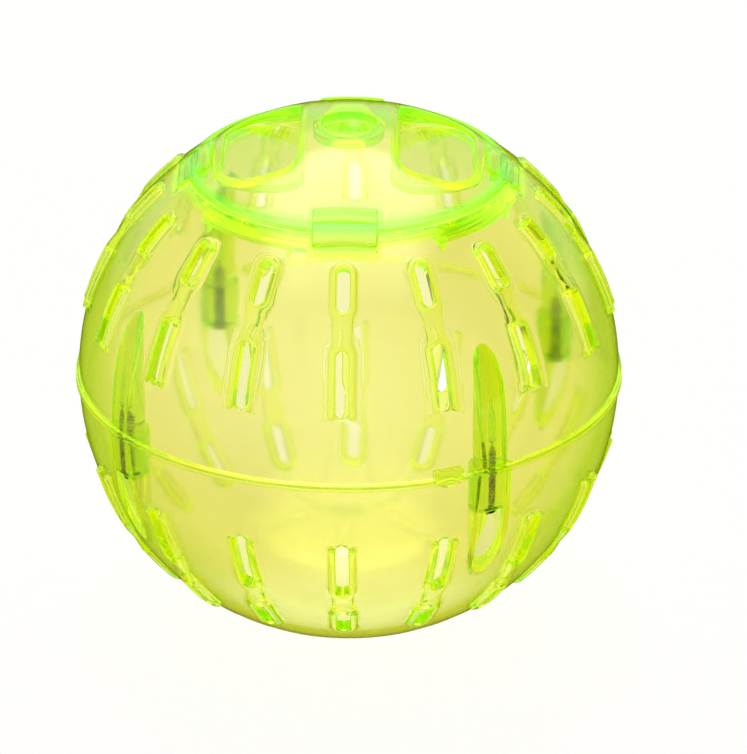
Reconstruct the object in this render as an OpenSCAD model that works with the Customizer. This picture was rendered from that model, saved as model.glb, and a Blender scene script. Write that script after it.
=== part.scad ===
// Hamster ball: two clear hemispheres joined at a lipped seam by four screws,
// with air slots round both halves and a drop-in lid over the mouth at the top.
// The origin is the centre of the ball, +Z points up through the lid, and the
// front of the ball, with one lid lug on its middle line, faces -Y.

/* [Ball] */
// Outer radius of the ball
ball_radius = 70; // [62:1:90]
// Wall thickness of both hemispheres
wall = 2; // [1.6:0.1:2.6]
// How far the seam lip stands proud of the wall
lip_proud = 0.8; // [0.3:0.1:1.5]
// Height of the seam lip on each hemisphere
lip_height = 1; // [0.6:0.1:2]

/* [Air slots] */
// Columns of slots round each hemisphere
slot_columns = 16; // [12:4:16]
// Width of every slot
slot_width = 3.2; // [2:0.1:4]
// Latitude where the long slot begins, in degrees
long_slot_low = 14.8; // [12:0.2:18]
// Latitude where the long slot ends, in degrees
long_slot_high = 28.7; // [25:0.1:30]
// Latitude where the short slot begins, in degrees
short_slot_low = 36.7; // [35:0.1:38]
// Latitude where the short slot ends, in degrees
short_slot_high = 46; // [43:0.5:46.5]
// Width of the raised collar round each slot
collar_width = 7.3; // [6.4:0.1:8]
// Height of the collar above the wall
collar_height = 1.2; // [0.6:0.1:1.8]
// Width of the collar on the bridge between two slots
waist_width = 5; // [3:0.1:6]
// Height of the collar on the bridge
waist_height = 0.8; // [0.4:0.1:1.2]

/* [Screw towers] */
// Distance of the screw axes from the middle of the ball, below the outer radius
screw_inset = 4.4; // [4:0.1:6]
// Diameter of the upper tower that the screw bites into
upper_tower_d = 8.5; // [7:0.1:10]
// Diameter of the lower tower round the screw and its pocket
lower_tower_d = 10.8; // [9.8:0.1:12]
// Diameter of the open pocket that lets a driver reach the screw
pocket_d = 7.4; // [6:0.1:8]
// Depth of the screw head's seat below the seam
seat_depth = 12; // [9:0.5:14]
// Depth of the straight pilot hole above the seam
pilot_depth = 13; // [8:0.5:15]
// Length of the cone above the pilot hole
pilot_cone = 5; // [2:0.5:6]

/* [Screws] */
// Outer diameter of the screw's thread
thread_d = 2.3; // [1.8:0.1:3]
// Length of the screw under its head
screw_length = 18; // [16:0.5:20]
// Length of the screw's point
point_length = 2; // [1.5:0.1:3]
// Diameter of the screw's head
head_d = 4.2; // [3.8:0.1:5]
// Height of the screw's head
head_height = 1.7; // [1.4:0.1:2.2]
// Width of each arm of the cross in the head
cross_width = 0.7; // [0.5:0.1:0.9]
// Span of the cross in the head
cross_span = 2.6; // [2:0.1:3]
// Depth of the cross in the head
cross_depth = 1; // [0.6:0.1:1.1]

/* [Mouth] */
// Radius of the mouth that the lid drops into
mouth_radius = 41; // [38:0.5:43]
// Radial width of the collar that hangs under the mouth's edge
skirt_width = 2; // [1.4:0.1:2.6]
// Height of the shelf's top below the wall's inner face at the mouth
shelf_drop = 1.5; // [1:0.1:2.5]
// Thickness of the shelf that the lid rests on
shelf_thickness = 1.3; // [1:0.1:2]
// How far the shelf reaches in under the lid
shelf_reach = 1.6; // [1:0.1:2]
// Angle that each of the four shelf pieces spans, in degrees
shelf_span = 40; // [30:1:46]
// Turn of the shelf pieces from the diagonals, in degrees
shelf_turn = 8; // [5:1:10]
// How far the pointed stops hang below the shelf
stop_drop = 2.4; // [1:0.1:4]
// Width of each pointed stop at its root
stop_width = 2.2; // [1.4:0.1:3]

/* [Lid] */
// Wall thickness of the lid
lid_wall = 1.8; // [1.4:0.1:2.4]
// Width of the lid's upright rim
rim_width = 1.8; // [1.4:0.1:2.4]
// How far the rim's bead stands proud of the ball
bead_proud = 0.5; // [0.2:0.1:1]
// Width of each of the four lugs
lug_width = 16.4; // [12:0.2:18]
// How far each lug reaches in from the rim
lug_inward = 3.6; // [2.5:0.1:5]
// How far each lug reaches out past the mouth's edge
lug_outward = 2.6; // [1.8:0.1:2.8]
// How far a lug's inner half stands proud of the ball
lug_proud = 1; // [0.7:0.1:1.4]
// Step down from a lug's inner half to its outer half
lug_step = 0.5; // [0.2:0.1:0.6]
// Radius of the corners at a lug's outer end
lug_corner = 1.2; // [0.6:0.1:1.6]

/* [Grip] */
// Width of the grip bar between the finger wells
grip_width = 25; // [22:0.5:28]
// Width of each finger well, across the bar
well_width = 19.8; // [16:0.2:21]
// Length of each finger well, along the bar
well_length = 40; // [30:0.5:42]
// Corner radius of a well at the bar
well_inner_corner = 6; // [3:0.5:8]
// Corner radius of a well at its outer side
well_outer_corner = 11; // [8:0.5:14]
// Depth of the wells' flat floor below the top of the ball
well_depth = 10; // [9:0.5:12]
// Radius of the round socket in the middle of the lid
socket_radius = 7.2; // [4:0.1:8]
// Depth of the socket
socket_depth = 3; // [2:0.1:4]
// Wall round and under the socket
socket_wall = 1.8; // [1.4:0.1:2.4]

/* [Locating tabs] */
// Width of each half-round tab that keys the two halves
tab_width = 7.8; // [5:0.2:10]
// How far each tab hangs below the seam
tab_drop = 2.9; // [2:0.1:4]
// Thickness of each tab
tab_thickness = 1.2; // [0.8:0.1:1.6]
// Direction of the front tab round the ball, in degrees
tab_azimuth = 23; // [20:1:26]

/* [Clearances] */
// Gap between the lid's rim and the mouth, and round the lugs
lid_gap = 0.3; // [0.2:0.05:0.4]
// Gap between a locating tab and the lower half
tab_gap = 0.3; // [0.2:0.05:0.5]
// Radial gap round the screw's thread in the pilot hole
screw_gap = 0.05; // [0.03:0.01:0.1]
// Radial gap round the screw where it passes through the lower half
pass_gap = 0.25; // [0.1:0.05:0.4]

/* [Hidden] */
quarter_turn = 90;
quarters = [0, 1, 2, 3];
column_step = 4 * quarter_turn / slot_columns;
// The towers stand midway between two columns of slots
tower_azimuth = 1.5 * column_step;
tower_radius = ball_radius - screw_inset;
inner_radius = ball_radius - wall;
middle_radius = ball_radius - wall / 2;
overrun = ball_radius;
slot_end_angle = asin(slot_width / 2 / ball_radius);
lid_radius = mouth_radius - lid_gap;
lid_inner_radius = ball_radius - lid_wall;
// Where the wall's inner face meets the edge of the mouth
mouth_inner_z = sqrt(pow(inner_radius, 2) - pow(mouth_radius, 2));
shelf_top_z = mouth_inner_z - shelf_drop;
shelf_bottom_z = shelf_top_z - shelf_thickness;
// The skirt bites a little into the wall above it
skirt_bite_share = 0.15;
skirt_top_z = mouth_inner_z + wall * skirt_bite_share;
// Each stop stands in from the skirt's faces and ends by this share of its width
stop_inset_share = 0.2;
stop_inset = skirt_width * stop_inset_share;
seam_radius = lid_radius - rim_width;
well_floor_z = ball_radius - well_depth;
socket_rim_z = sqrt(pow(ball_radius, 2) - pow(socket_radius, 2));
socket_floor_z = socket_rim_z - socket_depth;
pilot_radius = thread_d / 2 + screw_gap;
ball_facets = 128;
round_facets = 48;
point_share = 0.2;
head_round_share = 0.4;

// Turns its children to a direction round the ball, counted from the front
module facing(azimuth) rotate([0, 0, azimuth - quarter_turn]) children();

// Sweeps a flat profile along the meridian: x is the radius, y is sideways
module along_meridian(low, high) rotate([quarter_turn, 0, 0]) rotate([0, 0, low])
  rotate_extrude(angle = high - low, $fn = ball_facets) children();

// Points its children's Z axis outwards at a latitude on the meridian
module at_latitude(latitude) rotate([0, quarter_turn - latitude, 0]) children();

// Everything on the upper side of the seam
module above_seam() cylinder(r = ball_radius + overrun, h = ball_radius + overrun, $fn = round_facets);

module hemisphere() intersection() {
  difference() {
    sphere(r = ball_radius, $fn = ball_facets);
    sphere(r = inner_radius, $fn = ball_facets);
  }
  above_seam();
}

module seam_lip() rotate_extrude($fn = ball_facets)
  translate([middle_radius, 0])
    square([wall / 2 + lip_proud, lip_height]);

// A low arch, as wide and as high as a collar, on the middle of the wall
module collar_profile(width, height) {
  arch_radius = (pow(width / 2, 2) + pow(height, 2)) / (2 * height);
  intersection() {
    translate([ball_radius + height - arch_radius, 0]) circle(r = arch_radius, $fn = round_facets);
    translate([middle_radius, -width]) square([wall + height, 2 * width]);
  }
}

// The rounded end of a collar, turned about the line through the ball's centre
module collar_end(width, height) {
  arch_radius = (pow(width / 2, 2) + pow(height, 2)) / (2 * height);
  rotate_extrude($fn = round_facets) intersection() {
    translate([0, ball_radius + height - arch_radius]) circle(r = arch_radius, $fn = round_facets);
    translate([0, middle_radius]) square([width, wall + height]);
  }
}

// The ends of the collar turn about the same lines as the ends of the slots
module slot_collar() {
  long_end = long_slot_high - slot_end_angle;
  short_start = short_slot_low + slot_end_angle;
  short_end = short_slot_high - slot_end_angle;
  along_meridian(long_slot_low + slot_end_angle, long_end) collar_profile(collar_width, collar_height);
  at_latitude(long_end) collar_end(collar_width, collar_height);
  along_meridian(long_end + slot_end_angle / 2, short_start - slot_end_angle / 2)
    collar_profile(waist_width, waist_height);
  at_latitude(short_start) collar_end(collar_width, collar_height);
  along_meridian(short_start, short_end) collar_profile(collar_width, collar_height);
  at_latitude(short_end) collar_end(collar_width, collar_height);
}

module slot_cut(low, high) {
  along_meridian(low + slot_end_angle, high - slot_end_angle)
    translate([inner_radius - wall, -slot_width / 2])
      square([3 * wall + collar_height, slot_width]);
  for (latitude = [low + slot_end_angle, high - slot_end_angle])
    at_latitude(latitude) translate([0, 0, inner_radius - wall])
      cylinder(d = slot_width, h = 3 * wall + collar_height, $fn = round_facets);
}

module all_collars() for (column = [0:slot_columns - 1]) facing(column * column_step) slot_collar();

module all_slots() for (column = [0:slot_columns - 1]) facing(column * column_step) {
  slot_cut(long_slot_low, long_slot_high);
  slot_cut(short_slot_low, short_slot_high);
}

// Places its children on each of the four screw axes
module at_towers() for (quarter = quarters) facing(tower_azimuth + quarter * quarter_turn)
  translate([tower_radius, 0, 0]) children();

module upper_towers() intersection() {
  at_towers() cylinder(d = upper_tower_d, h = ball_radius, $fn = round_facets);
  sphere(r = middle_radius, $fn = ball_facets);
}

module pilot_holes() at_towers() {
  translate([0, 0, -wall]) cylinder(r = pilot_radius, h = pilot_depth + wall, $fn = round_facets);
  translate([0, 0, pilot_depth])
    cylinder(r1 = pilot_radius, r2 = pilot_radius * point_share, h = pilot_cone, $fn = round_facets);
}

// Collar under the edge of the mouth, in four pieces, with the shelf at its foot
module mouth_skirt() for (quarter = quarters)
  facing((quarter + 1 / 2) * quarter_turn + shelf_turn - shelf_span / 2) {
    rotate_extrude(angle = shelf_span, $fn = ball_facets)
      translate([mouth_radius - shelf_reach, shelf_bottom_z])
        square([shelf_reach + skirt_width, skirt_top_z - shelf_bottom_z]);
    for (end = [0, shelf_span]) rotate([0, 0, end])
      translate([mouth_radius + stop_inset, end == 0 ? stop_inset : -stop_width - stop_inset, shelf_bottom_z])
        rotate([quarter_turn, 0, quarter_turn]) linear_extrude(skirt_width - 2 * stop_inset)
          polygon([[0, shelf_thickness / 2], [stop_width, shelf_thickness / 2], [stop_width / 2, -stop_drop]]);
  }

// Outline of a lug seen from above, grown on every side by a gap
module lug_outline(inward, gap) {
  reach = mouth_radius + lug_outward;
  half = lug_width / 2;
  translate([seam_radius - inward, -half - gap])
    square([reach - lug_corner - seam_radius + inward, lug_width + 2 * gap]);
  translate([seam_radius - inward, -half + lug_corner])
    square([reach + gap - seam_radius + inward, lug_width - 2 * lug_corner]);
  for (side = [-1, 1]) translate([reach - lug_corner, side * (half - lug_corner)])
    circle(r = lug_corner + gap, $fn = round_facets);
}

module mouth_cut() {
  translate([0, 0, shelf_top_z]) cylinder(r = mouth_radius, h = overrun, $fn = ball_facets);
  for (quarter = quarters) facing(quarter * quarter_turn) translate([0, 0, shelf_bottom_z])
    linear_extrude(overrun) lug_outline(0, lid_gap);
}

// Half-round tab inside the seam, hanging from the upper half into the lower
module locating_tab() {
  outer = sqrt(pow(inner_radius, 2) - pow(tab_drop, 2)) - tab_gap;
  round_z = tab_width / 2 - tab_drop;
  intersection() {
    rotate_extrude($fn = ball_facets) {
      translate([outer - tab_thickness, -tab_drop - wall]) square([tab_thickness, tab_drop + 2 * wall]);
      translate([outer - tab_thickness, 0]) square([middle_radius - outer + tab_thickness, wall]);
    }
    translate([0, 0, round_z]) rotate([0, quarter_turn, 0])
      cylinder(d = tab_width, h = ball_radius, $fn = round_facets);
  }
}

module locating_tabs() for (half = [0, 2]) facing(tab_azimuth + half * quarter_turn) locating_tab();

module upper_shell() color([0.85, 0.95, 0.35, 0.6]) difference() {
  union() {
    difference() {
      union() {
        hemisphere();
        seam_lip();
        all_collars();
        mouth_skirt();
      }
      mouth_cut();
      all_slots();
    }
    upper_towers();
    locating_tabs();
  }
  pilot_holes();
}

module lower_towers() intersection() {
  at_towers() cylinder(d = lower_tower_d, h = ball_radius, $fn = round_facets);
  sphere(r = middle_radius, $fn = ball_facets);
}

// Hole for the screw through the tower, and the open pocket below its head
module screw_pockets() at_towers() {
  translate([0, 0, seat_depth]) cylinder(d = pocket_d, h = overrun, $fn = round_facets);
  translate([0, 0, -wall]) cylinder(r = thread_d / 2 + pass_gap, h = seat_depth + 2 * wall, $fn = round_facets);
}

// Built above the seam and turned over about the line from left to right
module lower_shell() color([0.85, 0.95, 0.3, 0.6]) mirror([0, 0, 1]) difference() {
  union() {
    difference() {
      union() {
        hemisphere();
        seam_lip();
        all_collars();
      }
      all_slots();
    }
    lower_towers();
  }
  screw_pockets();
}

module lid_cap() intersection() {
  difference() {
    sphere(r = ball_radius, $fn = ball_facets);
    sphere(r = lid_inner_radius, $fn = ball_facets);
  }
  cylinder(r = lid_radius - rim_width / 2, h = 2 * ball_radius, $fn = ball_facets);
}

module lid_rim() intersection() {
  difference() {
    translate([0, 0, shelf_top_z]) cylinder(r = lid_radius, h = ball_radius, $fn = ball_facets);
    cylinder(r = seam_radius, h = 2 * ball_radius, $fn = ball_facets);
  }
  sphere(r = ball_radius + bead_proud, $fn = ball_facets);
}

// The inner half of a lug stands on the cap, a step above its outer half
module lid_lug() {
  difference() {
    intersection() {
      linear_extrude(2 * ball_radius) lug_outline(lug_inward, 0);
      sphere(r = ball_radius + lug_proud, $fn = ball_facets);
      cylinder(r = seam_radius, h = 2 * ball_radius, $fn = ball_facets);
    }
    sphere(r = ball_radius - lid_wall / 2, $fn = ball_facets);
  }
  intersection() {
    translate([0, 0, shelf_top_z]) linear_extrude(ball_radius) lug_outline(-rim_width / 2, 0);
    sphere(r = ball_radius + lug_proud - lug_step, $fn = ball_facets);
  }
}

module lid_lugs() for (quarter = quarters) facing(quarter * quarter_turn) lid_lug();

// Outline of a finger well, straight at the bar and round at the outer corners
module well_outline(grow) {
  near = grip_width / 2;
  far = near + well_width;
  half = well_length / 2;
  for (side = [-1, 1]) {
    translate([near + well_inner_corner, side * (half - well_inner_corner)])
      circle(r = well_inner_corner + grow, $fn = round_facets);
    translate([far - well_outer_corner, side * (half - well_outer_corner)])
      circle(r = well_outer_corner + grow, $fn = round_facets);
  }
  translate([near - grow, well_inner_corner - half])
    square([well_width / 2 + grow, well_length - 2 * well_inner_corner]);
  translate([near + well_inner_corner, -half - grow])
    square([well_width - well_inner_corner - well_outer_corner, well_length + 2 * grow]);
  translate([far - well_outer_corner, well_outer_corner - half])
    square([well_outer_corner + grow, well_length - 2 * well_outer_corner]);
}

module at_wells() for (side = [0, 2]) rotate([0, 0, side * quarter_turn]) children();

module well_bodies() intersection() {
  at_wells() translate([0, 0, well_floor_z - lid_wall]) linear_extrude(ball_radius) well_outline(lid_wall);
  sphere(r = ball_radius - lid_wall / 2, $fn = ball_facets);
}

module well_pockets() at_wells() translate([0, 0, well_floor_z]) linear_extrude(ball_radius) well_outline(0);

module socket_body() intersection() {
  translate([0, 0, socket_floor_z - socket_wall])
    cylinder(r = socket_radius + socket_wall, h = ball_radius, $fn = round_facets);
  sphere(r = ball_radius - lid_wall / 2, $fn = ball_facets);
}

module socket_hole() translate([0, 0, socket_floor_z])
  cylinder(r = socket_radius, h = ball_radius, $fn = round_facets);

module lid() color([0.75, 0.95, 0.35, 0.6]) difference() {
  union() {
    lid_cap();
    lid_rim();
    lid_lugs();
    well_bodies();
    socket_body();
  }
  well_pockets();
  socket_hole();
}

module cross_recess() for (turn = [0, 1]) rotate([0, 0, turn * quarter_turn])
  translate([-cross_span / 2, -cross_width / 2, -head_height])
    cube([cross_span, cross_width, cross_depth]);

// A screw with the underside of its head at zero, pointing up
module screw() difference() {
  union() {
    translate([0, 0, -head_height * (1 - head_round_share)])
      cylinder(d = head_d, h = head_height * (1 - head_round_share), $fn = round_facets);
    translate([0, 0, -head_height])
      cylinder(d1 = head_d * (1 - head_round_share), d2 = head_d, h = head_height * head_round_share, $fn = round_facets);
    translate([0, 0, -head_height / 2])
      cylinder(d = thread_d, h = screw_length - point_length + head_height / 2, $fn = round_facets);
    translate([0, 0, screw_length - point_length])
      cylinder(d1 = thread_d, d2 = thread_d * point_share, h = point_length, $fn = round_facets);
  }
  cross_recess();
}

module placed_screw(quarter) color([0.25, 0.26, 0.24])
  facing(tower_azimuth + quarter * quarter_turn)
    translate([tower_radius, 0, -seat_depth]) screw();

module screw_front_right() placed_screw(0);

module screw_back_right() placed_screw(1);

module screw_back_left() placed_screw(2);

module screw_front_left() placed_screw(3);

upper_shell();
lower_shell();
lid();
screw_front_right();
screw_back_right();
screw_back_left();
screw_front_left();
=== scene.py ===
"""A clear lime hamster ball on a pale floor, dressed over the frame of its CAD part.

The sizes in the classes are real millimetres, as they are measured on the ball, and
turn into metres where a mesh is made. Directions round the ball are azimuths in
degrees, counted from the front (-Y) towards the right (+X).
"""

import logging
import math
from dataclasses import dataclass, field
from enum import Enum

import bmesh
import bpy
import numpy as np
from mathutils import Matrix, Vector


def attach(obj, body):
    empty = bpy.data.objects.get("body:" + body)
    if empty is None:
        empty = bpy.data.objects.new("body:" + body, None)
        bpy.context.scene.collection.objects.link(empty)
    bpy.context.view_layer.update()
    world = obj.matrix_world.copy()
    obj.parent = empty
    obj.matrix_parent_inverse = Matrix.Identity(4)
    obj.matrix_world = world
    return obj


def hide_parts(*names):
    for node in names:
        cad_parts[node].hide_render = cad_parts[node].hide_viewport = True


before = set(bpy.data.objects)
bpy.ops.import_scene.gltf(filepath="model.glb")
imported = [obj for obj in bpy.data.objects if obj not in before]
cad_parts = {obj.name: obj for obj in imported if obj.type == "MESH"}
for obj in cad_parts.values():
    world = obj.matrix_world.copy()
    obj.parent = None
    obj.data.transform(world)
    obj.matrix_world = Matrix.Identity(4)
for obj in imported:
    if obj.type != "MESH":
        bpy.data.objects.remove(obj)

Array = np.ndarray
Material = bpy.types.Material
Triple = tuple[float, float, float]
log = logging.getLogger("hamster_ball")

METRES = 0.001
WELD = 1.5e-6
SAME_TURN = 1e-6
NO_FILLET = 1e-6
SHARP_ANGLE = math.radians(33)
# Mesh attribute for the plastic's deeper tint and painted glow, and for a screw head's painted dark shade
DEPTH_GLOW_SHADE = "depth"
QUARTER = np.radians([0, 22.5, 45, 67.5, 90])
# Rows of a dished face: the plain ones, those to the edge, and those to the floor's bend
PLAIN_ROWS, FACE_ROWS, WALL_ROWS = 6, 9, 15


class Half(Enum):
    """The two halves of the ball, by the side of the seam that they lie on."""

    UPPER = 1
    LOWER = -1


# Geometry helpers


def towards(azimuth: Array, latitude: Array) -> Array:
    """Gives unit vectors (cos lat sin az, -cos lat cos az, sin lat).

    Args:
        azimuth: Directions round the ball in radians, from the front towards the right.
        latitude: Angles above the seam in radians.

    Returns:
        An array with one more axis, of length 3.
    """
    azimuth, latitude = np.broadcast_arrays(azimuth, latitude)
    level = np.cos(latitude)
    return np.stack([level * np.sin(azimuth), -level * np.cos(azimuth), np.sin(latitude)], axis=-1)


def upright(azimuth: Array, radius: Array, height: Array) -> Array:
    """Gives the points of cylinder coordinates, at a radius from the Z axis and a height.

    Args:
        azimuth: Directions round the ball in radians.
        radius: Distances from the Z axis.
        height: Heights above the seam.

    Returns:
        An array of points with one more axis, of length 3.
    """
    azimuth, radius, height = np.broadcast_arrays(azimuth, radius, height)
    return np.stack([radius * np.sin(azimuth), -radius * np.cos(azimuth), height], axis=-1)


def turned(azimuth: Array | float, outward: Array | float, aside: Array, height: Array | float) -> Array:
    """Gives points that lie outward and aside in a direction round the ball, at a height.

    Args:
        azimuth: The direction in radians.
        outward: Distances from the Z axis along the direction.
        aside: Distances to the right of it.
        height: Heights above the seam.

    Returns:
        An array of points with one more axis, of length 3.
    """
    sine, cosine = np.sin(azimuth), np.cos(azimuth)
    x = outward * sine + aside * cosine
    y = -outward * cosine + aside * sine
    return np.stack([x, y, np.broadcast_to(height, x.shape)], -1)


def circle(turns: Array) -> Array:
    """Gives points of the unit circle, (cos turn, sin turn)."""
    return np.stack([np.cos(turns), np.sin(turns)], -1)


def raised(flat: Array, height: Array | float) -> Array:
    """Gives the points over a plan, each at its height."""
    return np.concatenate([flat, np.broadcast_to(height, flat.shape[:-1])[..., None]], -1)


def corner_arcs(
    span: tuple[float, float], half: float, corners: tuple[float, float], steps: int, grow: float = 0.0
) -> list[Array]:
    """Gives the four round corners of a rectangle that lies along +X.

    Args:
        span: The rectangle's near and far ends.
        half: Half its width.
        corners: Radii of the corners at the near and the far end.
        steps: Number of points in each arc.
        grow: How far the arcs are grown from their middles.

    Returns:
        Four arcs of shape (steps, 2), counterclockwise from the far end.
    """
    (near, far), (inner, outer) = span, corners
    quarter = np.linspace(0, math.pi / 2, steps)
    arcs = []
    for x, corner, aside, up, start in (
        (far, outer, 1, 1, 0), (near, inner, -1, 1, math.pi / 2),
        (near, inner, -1, -1, math.pi), (far, outer, 1, -1, 3 * math.pi / 2),
    ):
        middle = np.array([x - aside * corner, up * (half - corner)])
        arcs.append(middle + (corner + grow) * circle(quarter + start))
    return arcs


def between(first: Array, last: Array, shares: Array) -> Array:
    """Gives rows of points that go in a straight line from one row to another.

    Args:
        first: The row at share 0, of shape (points, values).
        last: The row at share 1.
        shares: The shares of the way, of shape (rows,) or (rows, points).

    Returns:
        An array of shape (rows, points, values).
    """
    part = shares[:, None, None] if shares.ndim == 1 else shares[:, :, None]
    return first[None] * (1 - part) + last[None] * part


def edge_drop(distance: Array, fillet: float) -> Array:
    """Gives how far a rounded edge lies under the face at a distance from the edge's wall.

    The edge is a quarter circle: fillet - sqrt(fillet^2 - (fillet - distance)^2).

    Args:
        distance: Distances from the wall along the face.
        fillet: Radius of the rounding.

    Returns:
        The drops, zero past the rounding.
    """
    inside = np.clip(fillet - distance, 0, fillet)
    return fillet - np.sqrt(np.maximum(fillet**2 - inside**2, 0))


def frame_loop(columns: Array, rows: Array) -> Array:
    """Walks once round a rectangle, counterclockwise from its first corner.

    Args:
        columns: The first values along the rectangle's lower side.
        rows: The second values along its right side.

    Returns:
        Points of shape (2 * (columns + rows) - 4, 2).
    """
    lower = np.stack([columns[:-1], np.full(len(columns) - 1, rows[0])], -1)
    right = np.stack([np.full(len(rows) - 1, columns[-1]), rows[:-1]], -1)
    upper = np.stack([columns[:0:-1], np.full(len(columns) - 1, rows[-1])], -1)
    left = np.stack([np.full(len(rows) - 1, columns[0]), rows[:0:-1]], -1)
    return np.concatenate([lower, right, upper, left])


@dataclass
class Surface:
    """Grids of points that are gathered into one mesh and welded along their seams."""

    points: list[Array] = field(default_factory=list)
    faces: list[Array] = field(default_factory=list)
    depths: list[Array] = field(default_factory=list)
    count: int = 0

    def grid(self, grid: Array, closed: bool = False, depth: Array | float = 0.0) -> None:
        """Adds a grid of quads over an array of points.

        Args:
            grid: Points of shape (rows, columns, 3).
            closed: Whether the last column joins the first.
            depth: How deep the plastic's colour is and how strong its painted glow is, from 0
                on a plain wall to 1 on an edge, and on a screw where its painted dark shade lies,
                for the whole grid or of a shape that spreads to (rows, columns).
        """
        rows, columns = grid.shape[:2]
        row = np.arange(rows - 1)[:, None]
        column = np.arange(columns if closed else columns - 1)[None, :]
        after = (column + 1) % columns
        corners = [row * columns + column, row * columns + after]
        corners += [(row + 1) * columns + after, (row + 1) * columns + column]
        self.faces.append(np.stack(corners, -1).reshape(-1, 4) + self.count)
        self.points.append(grid.reshape(-1, 3))
        self.depths.append(np.broadcast_to(depth, (rows, columns)).ravel())
        self.count += rows * columns

    def cap(self, loop: Array, middle: Array, depth: float = 0.0) -> None:
        """Closes a loop of points with a fan of faces to its middle point."""
        fan = between(loop, np.broadcast_to(middle, loop.shape), np.array([0, 1.0]))
        self.grid(fan, closed=True, depth=depth)

    def turned_over(self) -> None:
        """Mirrors every point in the plane of the seam."""
        self.points = [points * np.array([1, 1, -1]) for points in self.points]

    def make(self, name: str, body: str, slot: str, material: Material) -> bpy.types.Object:
        """Makes the mesh object, welds it, turns its faces outwards and dresses it.

        Args:
            name: Name of the piece.
            body: The CAD body that it rides on.
            slot: The record's material slot, not used.
            material: The finish that it wears.

        Returns:
            The new object, at the origin.
        """
        mesh = bpy.data.meshes.new(name)
        points = np.concatenate(self.points) * METRES
        faces = np.concatenate(self.faces)
        mesh.vertices.add(len(points))
        mesh.vertices.foreach_set("co", points.astype(np.float32).ravel())
        mesh.loops.add(faces.size)
        mesh.loops.foreach_set("vertex_index", faces.astype(np.int32).ravel())
        mesh.polygons.add(len(faces))
        mesh.polygons.foreach_set("loop_start", np.arange(0, faces.size, 4, dtype=np.int32))
        depth = mesh.attributes.new(DEPTH_GLOW_SHADE, "FLOAT", "POINT")
        depth.data.foreach_set("value", np.concatenate(self.depths).astype(np.float32))
        mesh.update(calc_edges=True)
        shell = bmesh.new()
        shell.from_mesh(mesh)
        bmesh.ops.remove_doubles(shell, verts=shell.verts, dist=WELD)
        bmesh.ops.dissolve_degenerate(shell, edges=shell.edges, dist=WELD / 10)
        bmesh.ops.recalc_face_normals(shell, faces=shell.faces)
        open_edges = sum(1 for edge in shell.edges if len(edge.link_faces) != 2)
        shell.to_mesh(mesh)
        shell.free()
        mesh.validate()
        mesh.shade_smooth()
        mesh.set_sharp_from_angle(angle=SHARP_ANGLE)
        mesh.materials.append(material)
        piece = bpy.data.objects.new(name, mesh)
        bpy.context.scene.collection.objects.link(piece)
        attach(piece, body)
        log.info("%s: %d faces, %d open edges", name, len(mesh.polygons), open_edges)
        return piece


@dataclass(frozen=True)
class Chart:
    """A flat map of the sphere along one meridian.

    The first value runs along the meridian and the second across it, both in millimetres
    on the sphere, so a slot of even width is a plain stadium on the map.
    """

    radius: float
    azimuth: float

    def flat(self, azimuth: Array, latitude: Array) -> Array:
        """Maps directions: across = R cos lat sin az, along = R atan2(sin lat, cos lat cos az)."""
        turn = azimuth - self.azimuth
        across = self.radius * np.cos(latitude) * np.sin(turn)
        along = self.radius * np.arctan2(np.sin(latitude), np.cos(latitude) * np.cos(turn))
        return np.stack([along, across], -1)

    def direction(self, flat: Array) -> Array:
        """Gives the unit vectors of points on the map, the reverse of flat."""
        sideways = flat[..., 1] / self.radius
        level = np.sqrt(1 - sideways**2)
        angle = flat[..., 0] / self.radius
        return turned(self.azimuth, level * np.cos(angle), sideways, level * np.sin(angle))


def rounded_block(
    surface: Surface, outline: Array, top: float, bottom: float, fillet: float, depth: float
) -> None:
    """Adds a closed block over a convex outline, with a rounded upper edge.

    The outline shrinks towards its middle by shares for the top and the bottom faces, and
    by the quarter circle 1 - cos, 1 - sin along the rounded edge.

    Args:
        surface: Where the block is added.
        outline: Points of the outline seen from above, of shape (points, 2).
        top: Radius of the sphere that the top lies on.
        bottom: Height of the flat bottom.
        fillet: Radius of the rounding along the top's edge.
        depth: Depth of the plastic's colour.
    """
    middle = outline.mean(0)
    arms = outline - middle
    reach = np.linalg.norm(arms, axis=1)[:, None]
    rows = [raised(middle + arms * share, bottom) for share in (0.0, 0.5, 1.0)]
    steps = [(1 - fillet * (1 - math.cos(turn)) / reach, fillet * (1 - math.sin(turn))) for turn in QUARTER]
    for share, drop in steps + [(share, 0.0) for share in (0.75, 0.5, 0.25, 0.0)]:
        flat = middle + arms * share
        rows.append(raised(flat, np.sqrt(top**2 - (flat**2).sum(1)) - drop))
    surface.grid(np.stack(rows), closed=True, depth=depth)


# Shader helpers


class Value:
    """A number in a shader graph, whose operators add Math nodes."""

    def __init__(self, graph: "Graph", socket: bpy.types.NodeSocket) -> None:
        """Wraps a socket of a graph."""
        self.graph, self.socket = graph, socket

    def __add__(self, other: "Value | float") -> "Value":
        """Adds."""
        return self.graph.math("ADD", self, other)

    def __mul__(self, other: "Value | float") -> "Value":
        """Multiplies."""
        return self.graph.math("MULTIPLY", self, other)

    def __sub__(self, other: "Value | float") -> "Value":
        """Subtracts."""
        return self.graph.math("SUBTRACT", self, other)

    def __rsub__(self, other: float) -> "Value":
        """Subtracts from a number."""
        return self.graph.math("SUBTRACT", other, self)

    def __pow__(self, other: float) -> "Value":
        """Raises to a power."""
        return self.graph.math("POWER", self, other)

    __radd__ = __add__
    __rmul__ = __mul__


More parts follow.
